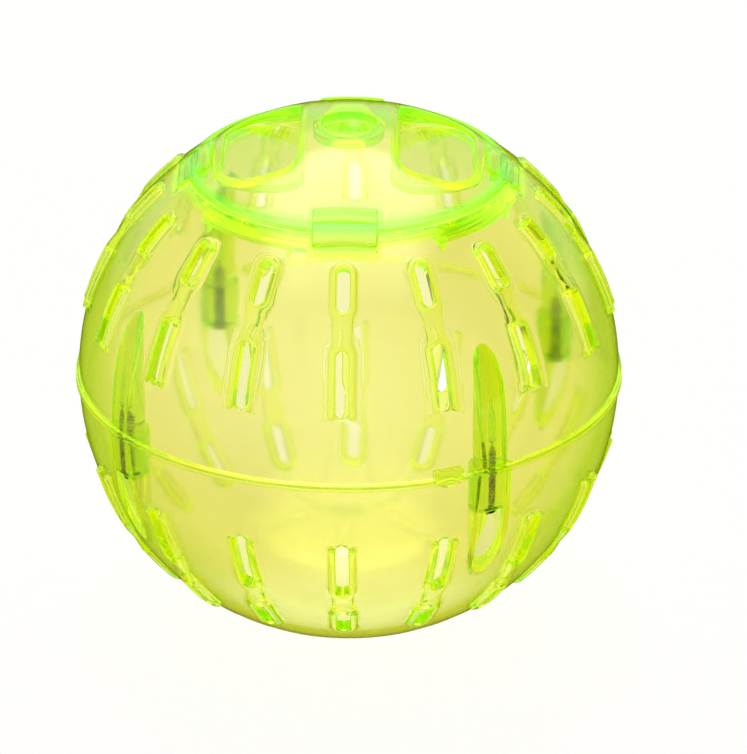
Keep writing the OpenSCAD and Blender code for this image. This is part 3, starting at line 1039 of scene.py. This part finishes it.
@dataclass
class UpperHalf:
    """The upper half: slotted wall with the mouth, shelf pieces, towers and locating tabs."""

    ball: BallSizes
    tower_half: float = 4.25
    pilot_radius: float = 1.2
    pilot_depth: float = 13.0
    pilot_cone: float = 5.0
    screw_tip: float = 6.0
    shelf_bottom: float = 51.45
    shelf_reach: float = 1.6
    skirt_width: float = 2.0
    skirt_rows: tuple[float, float] = (53.0, 54.6)
    shelf_span: float = 40.0
    shelf_turn: float = 8.0
    shelf_more: float = 4.4
    stop_drop: float = 2.4
    stop_width: float = 2.2
    front_depth: float = 0.3
    tab_half: float = 3.9
    tab_drop: float = 2.9
    tab_thickness: float = 1.2
    tab_top: float = 2.0
    tab_azimuth: float = 23.0
    tower_depth: float = 1.0
    tab_depth: float = 0.5

    def towers(self, surface: Surface) -> None:
        """Adds the four towers: round columns from the seam up to where they leave the wall.

        A tower's plan is a disc cut off by the wall, and its top lies on a sphere inside the
        wall. The pilot hole is a profile turned round the tower's axis. Below the screw's tip
        the plastic is shut round the thread, so there the profile runs inside the screw.

        Args:
            surface: Where the grids are added.
        """
        ball, pilot, snug = self.ball, self.pilot_radius, self.ball.snug_radius
        around = np.linspace(0, 2 * math.pi, 65)[:-1]
        end = self.pilot_depth + self.pilot_cone
        profile = [(0.0, end), (pilot * 0.2, end), (pilot, self.pilot_depth), (pilot, self.screw_tip + 1.0)]
        profile += [(snug * 0.05, self.screw_tip - 0.1), (snug, self.screw_tip - 1.5), (snug, ball.seam_gap)]
        profile += [(self.tower_half * 0.6, ball.seam_gap), (self.tower_half, ball.seam_gap)]
        profile += [(self.tower_half * share, None) for share in np.linspace(1, 0, 13)]
        for azimuth in ball.tower_turns:
            rows = [ball.tower_ring(azimuth, around, radius, height) for radius, height in profile]
            surface.grid(np.stack(rows), closed=True, depth=self.tower_depth)

    def shelves(self, surface: Surface) -> None:
        """Adds the four shelf pieces under the mouth's edge, each with two pointed stops.

        The depth of colour, and with it the painted glow, grows from the front and the
        back to the sides by sin^2: a painted deeper tint and glow where the shelf is seen
        edge-on from the camera.

        Args:
            surface: Where the grids are added.
        """
        ball, bottom = self.ball, self.shelf_bottom
        inside = ball.mouth_radius - self.shelf_reach
        outside = ball.mouth_radius + self.skirt_width
        edge, top = ball.mouth_radius + 0.02, ball.shelf_top - 0.02
        low, high = self.skirt_rows
        section = [(inside, bottom), (outside, bottom), (outside, low), (edge, high), (edge, top)]
        section = np.array([*section, (inside, top)])
        middle = np.array([ball.mouth_radius + 0.9, self.shelf_bottom + 0.7])
        for quarter in range(4):
            start = 90 * quarter + 45 + self.shelf_turn - self.shelf_span / 2
            turns = np.radians(np.linspace(start, start + self.shelf_span + self.shelf_more, 45))
            grid = upright(turns[:, None], section[None, :, 0], section[None, :, 1])
            # Painted deeper tint and glow towards the left and right, where the camera sees the shelf edge-on
            depth = self.front_depth + (1 - self.front_depth) * np.sin(turns[:, None]) ** 2
            surface.grid(grid, closed=True, depth=depth)
            for end in (0, -1):
                surface.cap(grid[end], upright(turns[end], middle[0], middle[1]), depth=1.0)
            width = math.degrees((self.stop_width / 2 + 0.4) / ball.mouth_radius)
            for place in (start + width, start + self.shelf_span - width):
                self.stop(surface, math.radians(place))

    def stop(self, surface: Surface, azimuth: float) -> None:
        """Adds one pointed stop, a small wedge under the skirt.

        Args:
            surface: Where the grid is added.
            azimuth: The stop's direction in radians.
        """
        half, deep = self.stop_width / 2, 0.6
        outline = np.array([(-half, 0.65), (half, 0.65), (0.35, -self.stop_drop), (-0.35, -self.stop_drop)])
        rows = []
        for share, depth in ((0, -deep), (1, -deep), (1, deep), (0, deep)):
            flat = outline.mean(0) + (outline - outline.mean(0)) * share
            radial = self.ball.mouth_radius + self.skirt_width / 2 + depth
            rows.append(turned(azimuth, radial, flat[:, 0], self.shelf_bottom + flat[:, 1]))
        surface.grid(np.stack(rows), closed=True, depth=1.0)

    def tabs(self, surface: Surface) -> None:
        """Adds the two half-round tabs that hang from the upper half behind the seam.

        Args:
            surface: Where the grids are added.
        """
        ball = self.ball
        outer = math.sqrt(ball.inner**2 - self.tab_drop**2) - 0.3
        around = np.linspace(0, 2 * math.pi, 49)[:-1]
        layers = ((0, 0), (0.5, 0), (0.96, 0), (1, 0.12), (1, 0.88), (0.96, 1), (0.5, 1), (0, 1))
        for azimuth in np.radians(self.tab_azimuth + np.array([0, 180])):
            rows = []
            for share, layer in layers:
                flat = self.tab_half * share * circle(around)
                height = np.minimum(self.tab_half - self.tab_drop + flat[:, 1], self.tab_top)
                into_wall = np.clip(height / 0.6, 0, 1) * 0.75
                radius = outer - self.tab_thickness + (self.tab_thickness + into_wall) * layer
                rows.append(upright(azimuth + flat[:, 0] / outer, radius, height))
            surface.grid(np.stack(rows), closed=True, depth=self.tab_depth)

    def build(self, plastic: Material, solid: Material, bright: Material) -> None:
        """Makes the upper half's pieces.

        Args:
            plastic: The finish of the shell.
            solid: The finish of the towers, which are solid plastic.
            bright: The finish of the shelf under the mouth, bright by its stronger painted glow.
        """
        surface = SlottedHalf(self.ball, Half.UPPER).whole()
        shell = surface.make("upper_wall", "ball", "shell_plastic", plastic)
        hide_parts("upper_shell")
        ribs = (
            ("upper_towers", self.towers, solid),
            ("mouth_shelf", self.shelves, bright),
            ("locating_tabs", self.tabs, plastic),
        )
        for name, method, finish in ribs:
            surface = Surface()
            method(surface)
            surface.make(name, "ball", "shell_plastic", finish)


@dataclass
class LowerHalf:
    """The lower half: slotted wall closed at the pole, with the screw pockets in its towers."""

    ball: BallSizes
    tower_half: float = 5.4
    past_seat: float = 0.6
    tower_depth: float = 1.0
    pocket_depth: float = 0.1

    def towers(self, surface: Surface) -> None:
        """Adds the four towers, each one section turned round the tower's axis.

        The section goes along the seam, down the outside, over the end and up the open
        pocket to the screw's seat, and back through the screw's hole. What would reach out
        of the wall is cut off at a sphere inside it.

        Args:
            surface: Where the grids are added.
        """
        ball, half, snug = self.ball, self.tower_half, self.ball.snug_radius
        top, seat_depth = ball.seam_gap, ball.seat_depth
        around = np.linspace(0, 2 * math.pi, 73)[:-1]
        cosine = np.cos(around)
        reach = ball.tower_clip**2 - seat_depth**2
        edge = -ball.tower_radius * cosine + np.sqrt(reach - ball.tower_radius**2 * (1 - cosine**2))
        seat = np.minimum(ball.pocket_radius, edge)
        solid = [(snug, top), ((snug + half) / 2, top), (half, top), (half, seat_depth)]
        hollow = [(half, seat_depth + self.past_seat)]
        hollow += [(half + (seat - half) * share, None) for share in np.linspace(0, 1, 7)]
        hollow += [(seat, seat_depth + self.past_seat)]
        back = [(seat, seat_depth), ((seat + snug) / 2, seat_depth), (snug, seat_depth), (snug, top)]
        profile = solid + hollow + back
        depth = np.full((len(profile), 1), self.tower_depth)
        depth[len(solid) : len(solid) + len(hollow)] = self.pocket_depth
        for azimuth in ball.tower_turns:
            rows = [ball.tower_ring(azimuth, around, radius, height) for radius, height in profile]
            surface.grid(np.stack(rows), closed=True, depth=depth)

    def build(self, plastic: Material, solid: Material) -> None:
        """Makes the lower half's pieces.

        Args:
            plastic: The finish of the shell.
            solid: The finish of the towers, which are solid plastic.
        """
        surface = SlottedHalf(self.ball, Half.LOWER).whole()
        shell = surface.make("lower_wall", "ball", "shell_plastic", plastic)
        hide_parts("lower_shell")
        surface = Surface()
        self.towers(surface)
        surface.turned_over()
        surface.make("lower_towers", "ball", "shell_plastic", solid)


@dataclass
class Lid:
    """The lid: a cap of the ball with an upright rim, four lugs, two finger wells and a socket."""

    ball: BallSizes
    wall: float = 1.8
    rim_outer: float = 40.7
    rim_inner: float = 38.9
    rim_bottom: float = 52.77
    rim_bevel: float = 0.25
    rim_row: float = 55.5
    bead: float = 0.35
    bead_proud: float = 0.5
    lug_inward: float = 3.6
    lug_proud: float = 1.0
    lug_step: float = 0.5
    lug_round: float = 0.3
    lug_inner_bottom: float = 56.3
    chord: float = 9.9
    chord_points: int = 57
    well_near: float = 12.5
    well_far: float = 32.3
    well_half: float = 20.0
    well_inner_corner: float = 6.0
    well_outer_corner: float = 11.0
    well_floor: float = 60.0
    well_rounds: tuple[float, float] = (0.55, 0.9)
    body_rounds: tuple[float, float] = (-0.3, 1.0)
    socket_radius: float = 7.2
    socket_floor: float = 66.63
    socket_wall: float = 1.8
    socket_rounds: tuple[float, float] = (0.45, 0.5)
    boss_rounds: tuple[float, float] = (-0.3, 0.5)
    socket_drift: float = 0.15
    floor_depth: float = 0.05
    rim_clear: float = 56.0
    rim_depth: float = 0.25
    edge_fade: float = 1.65
    well_depth: float = 0.15
    body_depth: float = 0.3
    socket_depth: float = 0.6
    lug_depth: float = 0.5

    def __post_init__(self) -> None:
        """Works out the shared points on the rim and the chords."""
        reach = math.sqrt(self.rim_inner**2 - self.chord**2)
        turn = math.atan2(reach, self.chord)
        self.chord_steps = np.linspace(-reach, reach, self.chord_points)
        self.side_arc = np.linspace(-turn, turn, 81)
        self.end_arc = np.linspace(turn, math.pi - turn, 25)

    def well_outline(self, grow: float) -> Array:
        """Gives a finger well's outline as a dense line, grown on every side.

        Args:
            grow: How far it is grown.

        Returns:
            Points of shape (points, 2) round the right well, counterclockwise.
        """
        corners = (self.well_inner_corner, self.well_outer_corner)
        return np.concatenate(corner_arcs((self.well_near, self.well_far), self.well_half, corners, 24, grow))

    def matched(self, outline: Array, edge: Array, middle: Array, drift: float = 0.45) -> Array:
        """Gives the outline's points that face a loop's points, seen from a middle point.

        Args:
            outline: A dense closed line.
            edge: The loop, of shape (points, 2), counterclockwise.
            middle: The middle that the angles are taken about.
            drift: How far the points even out along the outline, from 0 to 1.

        Returns:
            Points on the outline, one for each of the loop's.
        """
        angle = np.unwrap(np.arctan2(outline[:, 1] - middle[1], outline[:, 0] - middle[0]))
        closed = np.concatenate([outline, outline[:1]])
        angle = np.concatenate([angle, [angle[0] + 2 * math.pi]])
        length = np.concatenate([[0], np.cumsum(np.linalg.norm(np.diff(closed, axis=0), axis=1))])
        wanted = np.unwrap(np.arctan2(edge[:, 1] - middle[1], edge[:, 0] - middle[0]))
        wanted = (wanted - angle[0]) % (2 * math.pi) + angle[0]
        places = np.interp(wanted, angle, length)
        start = int(np.argmin(places))
        rolled = np.roll(places, -start)
        even = rolled[0] + np.arange(len(rolled)) * length[-1] / len(rolled)
        mixed = np.roll((1 - drift) * rolled + drift * even, start) % length[-1]
        return np.stack([np.interp(mixed, length, closed[:, 0]), np.interp(mixed, length, closed[:, 1])], -1)

    def side_loop(self) -> Array:
        """Gives the edge of the part of the lid to the right of the bar: arc, then chord."""
        arc = self.rim_inner * circle(self.side_arc)
        chord = np.stack([np.full(self.chord_points, self.chord), self.chord_steps[::-1]], -1)
        return np.concatenate([arc[:-1], chord[:-1]])

    def bar_loop(self) -> Array:
        """Gives the edge of the bar's part of the lid: right chord, far arc, left chord, near arc."""
        right = np.stack([np.full(self.chord_points, self.chord), self.chord_steps], -1)
        arc = self.rim_inner * circle(self.end_arc)
        return np.concatenate([right[:-1], arc[:-1], -right[:-1], -arc[:-1]])

    def dished(
        self, edge: Array, contour: Array, sphere: float, floor: float, fillets: tuple[float, float]
    ) -> Array:
        """Gives the rows from a loop over a sphere in to a contour, down its wall and over its floor.

        The face rounds over into the wall, the wall rounds into the floor, and the floor's
        rows shrink to the contour's middle.

        Args:
            edge: The outer loop, of shape (points, 2).
            contour: The matching points of the well or boss.
            sphere: Radius of the sphere that the face lies on.
            floor: Height of the floor.
            fillets: Radii of the roundings at the face and at the floor. A negative pair
                turns them round, for a boss that hangs under the face.

        Returns:
            Rows of points.
        """
        over, under = fillets
        span = np.linalg.norm(edge - contour, axis=1)
        near = np.abs(over) * np.array([1, 0.5, 0.18, 0.03, 0])
        inner = near[:, None] / span[None]
        outer = inner[0][None] + (1 - inner[0][None]) * np.array([1, 0.75, 0.5, 0.25])[:, None]
        shares = np.concatenate([outer, inner])
        flat = between(contour, edge, shares)
        drop = edge_drop(shares * span, abs(over)) if over > 0 else 0 * shares
        face = raised(flat, np.sqrt(sphere**2 - (flat**2).sum(-1)) - drop)
        middle, foot = contour.mean(0), abs(under)
        arms = contour - middle
        reach = np.linalg.norm(arms, axis=1)[:, None]
        bend = []
        for turn in QUARTER:
            share = 1 - foot * (1 - math.cos(turn)) / reach
            bend.append(raised(middle + arms * share, floor + foot * (1 - math.sin(turn))))
        wall = between(face[-1], bend[0], np.array([0.33, 0.67]))
        low = bend[-1]
        for share in (0.8, 0.55, 0.3, 0.12, 0.0):
            bend.append(raised(middle + (low[:, :2] - middle) * share, low[:, 2]))
        return np.concatenate([face, wall, np.stack(bend)])

    def dish_depth(self, rows: int, edge: float, wall: float, floor: float) -> Array:
        """Gives the depth of colour of a dished face's rows.

        Args:
            rows: Number of rows.
            edge: Depth along the rounded edge.
            wall: Depth on the wall.
            floor: Depth on the floor.

        Returns:
            An array of shape (rows, 1).
        """
        depth = np.full((rows, 1), floor)
        depth[:PLAIN_ROWS] = 0.0
        depth[PLAIN_ROWS:FACE_ROWS] = edge
        depth[FACE_ROWS:WALL_ROWS] = wall
        return depth

    def rim_tint_and_glow(self, face: Array) -> Array:
        """Gives the depth of colour and painted glow along the rim: 1 - (rim radius - radius) / fade."""
        away = self.rim_inner - np.hypot(face[..., 0], face[..., 1])
        return np.clip(1 - away / self.edge_fade, 0, 1)

    def rim(self, surface: Surface) -> None:
        """Adds the upright rim with its rounded bead, one section carried round.

        Args:
            surface: Where the grids are added.
        """
        side = self.side_arc[:-1]
        turns = np.concatenate([side, self.end_arc[:-1], side + math.pi, self.end_arc[:-1] + math.pi])
        cap, under = self.ball.radius, self.ball.radius - self.wall
        proud = cap + self.bead_proud
        top_in = math.sqrt(cap**2 - self.rim_inner**2)
        low_in = math.sqrt(under**2 - self.rim_inner**2)
        bead, bevel, bottom = self.bead, self.rim_bevel, self.rim_bottom
        outer = math.sqrt(proud**2 - self.rim_outer**2)
        inner = math.sqrt(proud**2 - (self.rim_inner + 0.05) ** 2)
        section = [(self.rim_inner, low_in), (self.rim_inner, bottom + bevel)]
        section += [(self.rim_inner + bevel, bottom), (self.rim_outer - bevel, bottom)]
        section += [(self.rim_outer, height) for height in (bottom + bevel, self.rim_row, outer - bead)]
        for turn in np.radians([30, 60, 90]):
            aside, drop = bead * (1 - math.cos(turn)), bead * (1 - math.sin(turn))
            section.append((self.rim_outer - aside, outer - drop + 0.1))
        middle = (self.rim_inner + self.rim_outer) / 2
        section += [(middle, math.sqrt(proud**2 - middle**2))]
        section += [(self.rim_inner + 0.35, inner - 0.22), (self.rim_inner + 0.15, inner - 0.35)]
        section += [(self.rim_inner, top_in)]
        radii, heights = np.hsplit(np.array(section), 2)
        # The rim's top gets full depth: a deeper tint and a band of painted glow
        depth = np.where(heights > self.rim_clear, 1.0, self.rim_depth)
        surface.grid(raised(radii[..., None] * circle(turns)[None], heights), closed=True, depth=depth)

    def cap(self, surface: Surface) -> None:
        """Adds the lid's upper and lower faces with the wells, the socket and their bodies.

        Args:
            surface: Where the grids are added.
        """
        side, bar = self.side_loop(), self.bar_loop()
        ring = circle(np.linspace(0, 2 * math.pi, 181)[:-1])
        well_middle = np.array([(self.well_near + self.well_far) / 2, 0.0])
        cap, under = self.ball.radius, self.ball.radius - self.wall
        well = self.matched(self.well_outline(0), side, well_middle)
        body = self.matched(self.well_outline(self.wall), side, well_middle)
        faces = (
            self.dished(side, well, cap, self.well_floor, self.well_rounds),
            self.dished(side, body, under, self.well_floor - self.wall, self.body_rounds),
        )
        for turn in (1, -1):
            for face, edge in zip(faces, (1.0, self.body_depth)):
                depth = self.dish_depth(len(face), edge, self.well_depth, self.floor_depth)
                depth = np.maximum(depth, self.rim_tint_and_glow(face))
                surface.grid(face * np.array([turn, turn, 1]), closed=True, depth=depth)
        centre = np.zeros(2)
        socket = self.matched(ring * self.socket_radius, bar, centre, self.socket_drift)
        around = ring * (self.socket_radius + self.socket_wall)
        boss = self.matched(around, bar, centre, self.socket_drift)
        faces = (
            self.dished(bar, socket, cap, self.socket_floor, self.socket_rounds),
            self.dished(bar, boss, under, self.socket_floor - self.socket_wall, self.boss_rounds),
        )
        for face, edge in zip(faces, (1.0, self.body_depth)):
            depth = self.dish_depth(len(face), edge, edge, self.socket_depth)
            surface.grid(face, closed=True, depth=np.maximum(depth, self.rim_tint_and_glow(face)))

    def lug_outline(self, near: float, far: float, corner: float, inner_corner: float) -> Array:
        """Gives a lug's rounded rectangle, seen from above with the lug along +X.

        Args:
            near: Its inner end.
            far: Its outer end.
            corner: Radius of the corners at the outer end.
            inner_corner: Radius of the corners at the inner end.

        Returns:
            Points of shape (points, 2), counterclockwise.
        """
        arcs = corner_arcs((near, far), self.ball.lug_width / 2, (inner_corner, corner), 7)
        line = []
        for arc, following in zip(arcs, arcs[1:] + arcs[:1]):
            line += [arc, between(arc[-1:], following[:1], np.linspace(0, 1, 7)[1:-1])[:, 0]]
        return np.concatenate(line)

    def lugs(self, surface: Surface) -> None:
        """Adds the four lugs, each an inner block a step higher than its outer block.

        Args:
            surface: Where the grids are added.
        """
        ball = self.ball
        near, far = self.rim_inner - self.lug_inward, ball.mouth_radius + ball.lug_outward
        inner = self.lug_outline(near, self.rim_inner, corner=0.3, inner_corner=0.6)
        outer = self.lug_outline(self.rim_inner + 0.02, far, corner=ball.lug_corner, inner_corner=0.1)
        high = ball.radius + self.lug_proud
        blocks = ((outer, high - self.lug_step, self.rim_bottom), (inner, high, self.lug_inner_bottom))
        for quarter in range(4):
            turn = math.radians(90 * quarter - 90)
            matrix = np.array([[math.cos(turn), math.sin(turn)], [-math.sin(turn), math.cos(turn)]])
            for outline, top, bottom in blocks:
                rounded_block(surface, outline @ matrix, top, bottom, self.lug_round, self.lug_depth)

    def build(self, plastic: Material, solid: Material) -> None:
        """Makes the lid's pieces.

        Args:
            plastic: The finish of the lid.
            solid: The finish of its lugs.
        """
        surface = Surface()
        self.cap(surface)
        self.rim(surface)
        cap = surface.make("lid_cap", "lid", "lid_plastic", plastic)
        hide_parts("lid")
        surface = Surface()
        self.lugs(surface)
        surface.make("lid_lugs", "lid", "lid_plastic", solid)


@dataclass
class TowerScrew:
    """A self-tapping screw: pan head with a cross recess, helical thread and a point."""

    ball: BallSizes
    crest: float = 1.13
    root: float = 0.82
    pitch: float = 0.95
    ridge_half: float = 0.34
    run_in: float = 0.8
    length: float = 18.0
    point: float = 2.2
    head_radius: float = 2.08
    head_height: float = 1.68
    dome_drop: float = 0.2
    cross_half: float = 0.34
    cross_span: float = 1.25
    cross_depth: float = 1.0
    cross_slopes: tuple[float, float] = (0.09, 0.2)

    def shank(self, around: Array) -> Array:
        """Gives the thread's rows: radius = root + depth * ridge(height / pitch - turn).

        Args:
            around: The turns of each row's points in radians.

        Returns:
            Points of shape (rows, turns, 3).
        """
        height = np.linspace(0, self.length, 191)[:, None]
        phase = (height / self.pitch - around[None] / (2 * math.pi)) % 1
        ridge = np.clip(1 - np.abs(phase - 0.5) / self.ridge_half, 0, 1)
        taper = np.clip((self.length - height) / self.point, 0, 1)
        start = np.clip(height / self.run_in, 0, 1)
        radius = (self.root + (self.crest - self.root) * ridge * start) * taper**0.75
        return raised(radius[..., None] * circle(around), height)

    def head(self, around: Array) -> Array:
        """Gives the head's rows: a flattened dome, pressed in where the cross is, and its edge.

        Args:
            around: The turns of each row's points in radians.

        Returns:
            Points of shape (rows, turns, 3).
        """
        shares = np.concatenate([np.linspace(0, 0.72, 19), np.linspace(0.76, 1, 7)])[:, None]
        flat = (self.head_radius * shares)[..., None] * circle(around)
        side, end = self.cross_slopes
        across = np.clip((self.cross_half - np.abs(flat[..., ::-1])) / side, 0, 1)
        arms = across * np.clip((self.cross_span - np.abs(flat)) / end, 0, 1)
        dome = self.head_height * (1 - self.dome_drop * shares**4)
        rows = [raised(flat, -(dome - self.cross_depth * arms.max(-1)))]
        rim = self.head_radius
        for radius, height in ((rim, -0.35), (rim - 0.05, -0.1), (rim - 0.2, 0.0)):
            rows.append(raised(radius * circle(around), height)[None])
        return np.concatenate(rows)

    def build(self, quarter: int, name: str, node: str, steel: Material) -> None:
        """Makes one screw in its tower.

        Args:
            quarter: Which of the four towers, counted round from the front right.
            name: Name of the piece.
            node: The CAD node that it stands for.
            steel: Its finish.
        """
        around = np.linspace(0, 2 * math.pi, 49)[:-1]
        surface = Surface()
        head, shank = self.head(around), self.shank(around)
        grid = np.concatenate([head, shank])
        # The head's rows carry depth 1, which gives them the steel's painted near-black shade
        depth = np.concatenate([np.ones((len(head), 1)), np.zeros((len(shank), 1))])
        azimuth = self.ball.tower_turns[quarter]
        place = upright(azimuth, np.array(self.ball.tower_radius), np.array(-self.ball.seat_depth))
        surface.grid(grid + place, closed=True, depth=depth)
        piece = surface.make(name, "ball", "screw_steel", steel)
        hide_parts(node)


@dataclass
class Studio:
    """The pale floor, the white room, the soft lamp and the camera of the photograph."""

    ball: BallSizes
    elevation: float = 25.35
    turn: float = 1.5
    distance: float = 1.68
    lens: float = 309.1
    sensor: float = 36.0
    aside: float = 0.0326
    down: float = -0.0113
    floor_size: float = 6.0
    floor_steps: int = 9
    bounces: int = 48
    glossy_bounces: int = 32
    dimmed: float = 0.7
    softbox: float = 1.6
    overhead: float = 3.2
    behind: float = 0.75
    beneath: float = 1.4

    def floor(self) -> None:
        """Lays a wide sheet under the ball."""
        mesh = bpy.data.meshes.new("floor")
        steps = np.linspace(-self.floor_size, self.floor_size, self.floor_steps)
        x, y = np.meshgrid(steps, steps)
        points = np.stack([x, y, np.full(x.shape, -self.ball.radius * METRES)], -1).reshape(-1, 3)
        index = np.arange(x.size).reshape(x.shape)
        faces = np.stack([index[:-1, :-1], index[:-1, 1:], index[1:, 1:], index[1:, :-1]], -1).reshape(-1, 4)
        mesh.from_pydata(points.tolist(), [], faces.tolist())
        mesh.materials.append(PaleFloor().make())
        sheet = bpy.data.objects.new("floor", mesh)
        sheet.visible_glossy = False
        bpy.context.scene.collection.objects.link(sheet)

    def room(self) -> None:
        """Fills the room with white light, dimmer high up on the camera's side.

        The light's strength is 1 - dimmed * high * near, where high grows from the horizon
        up and near grows from the back of the room to the front. Mirror images show a wide
        softbox before the ball, a strong narrow one above it, a pale wall behind it and a
        light patch beneath it instead, with dark flags at the sides.
        """
        world = bpy.data.worlds.new("room")
        bpy.context.scene.world = world
        graph = Graph(world)
        place = graph.node("ShaderNodeTexCoord").outputs["Generated"]
        parts = graph.node("ShaderNodeSeparateXYZ", Vector=place).outputs
        x, y, z = (Value(graph, parts[axis]) for axis in "XYZ")
        room = 1 - self.dimmed * graph.ramp(z, 0.08, 0.45) * graph.ramp(y, 0.75, -0.35)
        before = graph.ramp(y + 0.5 * x, 0.15, -0.95) * graph.ramp(z, -0.6, 0.0)
        above = graph.ramp(z, 0.7, 0.8) * graph.ramp(y, -0.6, -0.1) * graph.ramp(x * x, 0.3, 0.12)
        behind = graph.ramp(y, 0.2, 0.6) * graph.ramp(z, -0.15, 0.1)
        beneath = graph.ramp(z, -0.8, -0.97) * graph.ramp(x * x, 0.3, 0.1)
        mirrored = self.softbox * before + self.overhead * above
        mirrored = mirrored + self.behind * behind + self.beneath * beneath
        glossy = Value(graph, graph.node("ShaderNodeLightPath").outputs["Is Glossy Ray"])
        light = graph.node("ShaderNodeBackground", Strength=room + glossy * (mirrored - room))
        graph.node("ShaderNodeOutputWorld", Surface=light.outputs[0])
        light.inputs["Color"].default_value = (1.0, 1.0, 1.0, 1.0)

    def lamp(self, name: str, place: Triple, size: float, power: float) -> None:
        """Hangs a soft square lamp that faces the ball.

        Args:
            name: Its name.
            place: Where it hangs, in metres.
            size: Its side, in metres.
            power: Its power, in watts.
        """
        light = bpy.data.lights.new(name, "AREA")
        light.size, light.energy = size, power
        hung = bpy.data.objects.new(name, light)
        hung.location = place
        hung.rotation_euler = (-Vector(place)).to_track_quat("-Z", "Y").to_euler()
        bpy.context.scene.collection.objects.link(hung)

    def camera(self) -> None:
        """Sets up the long lens at the photograph's angle."""
        camera = bpy.data.cameras.new("camera")
        camera.lens, camera.sensor_width, camera.sensor_fit = self.lens, self.sensor, "AUTO"
        camera.shift_x, camera.shift_y = self.aside, self.down
        camera.clip_start, camera.clip_end = 0.05, 50.0
        view = bpy.data.objects.new("camera", camera)
        up, turn = math.radians(self.elevation), math.radians(self.turn)
        level = math.cos(up)
        towards_camera = Vector((math.sin(turn) * level, -math.cos(turn) * level, math.sin(up)))
        view.location = towards_camera * self.distance
        view.rotation_euler = (-towards_camera).to_track_quat("-Z", "Y").to_euler()
        bpy.context.scene.collection.objects.link(view)
        bpy.context.scene.camera = view

    def build(self) -> None:
        """Sets up the whole studio."""
        self.camera()
        self.room()
        self.floor()
        self.lamp("softbox", place=(-0.3, 1.0, 1.5), size=1.6, power=3.0)
        scene = bpy.context.scene
        scene.view_settings.view_transform = "Standard"
        # Light runs along inside the clear walls, so it needs many turns before it is lost
        scene.cycles.max_bounces = self.bounces
        scene.cycles.glossy_bounces = self.glossy_bounces
        scene.cycles.transmission_bounces = self.bounces
        scene.cycles.transparent_max_bounces = self.bounces


SCREW_NODES = ("screw_front_right", "screw_back_right", "screw_back_left", "screw_front_left")


def main() -> None:
    logging.basicConfig(level=logging.INFO, format="%(message)s")
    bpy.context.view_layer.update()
    ball = BallSizes()
    Studio(ball).build()
    shell = ClearPlastic("clear lime shell").make()
    rib = ClearPlastic(
        "clear lime ribs", deep=(0.7, 0.98, 0.2), painted_deep_glow=(0.5, 1.0, 0.1), painted_glow_power=1.0
    ).make()
    post = ClearPlastic(
        "clear lime posts", deep=(0.66, 0.8, 0.02), absorption=(0.98, 0.992, 0.4),
        painted_deep_glow=(0.3, 0.5, 0.0), painted_glow_power=1.0,
    ).make()
    tower = ClearPlastic(
        "clear lime towers", deep=(0.46, 0.7, 0.01), absorption=(0.98, 0.992, 0.5),
        painted_deep_glow=(0.3, 0.7, 0.0), painted_glow_power=1.0,
    ).make()
    lid = ClearPlastic(
        "clear lime lid", tint=(0.88, 0.88, 0.96), cloud=(0.865, 0.87, 0.93), deep=(0.46, 0.93, 0.14),
        absorption=(0.975, 0.992, 0.12), painted_deep_glow=(0.15, 0.8, 0.1), painted_glow_strength=0.2, painted_glow_power=2.0,
    ).make()
    lug = ClearPlastic(
        "clear lime lugs", deep=(0.64, 0.82, 0.12), painted_deep_glow=(0.4, 0.6, 0.0), painted_glow_power=1.0
    ).make()
    steel = DarkSteel().make()
    UpperHalf(ball).build(shell, post, rib)
    LowerHalf(ball).build(shell, tower)
    Lid(ball).build(lid, lug)
    for quarter, node in enumerate(SCREW_NODES):
        TowerScrew(ball).build(quarter, node.replace("screw", "tapping_screw"), node, steel)


if __name__ == "__main__":
    main()
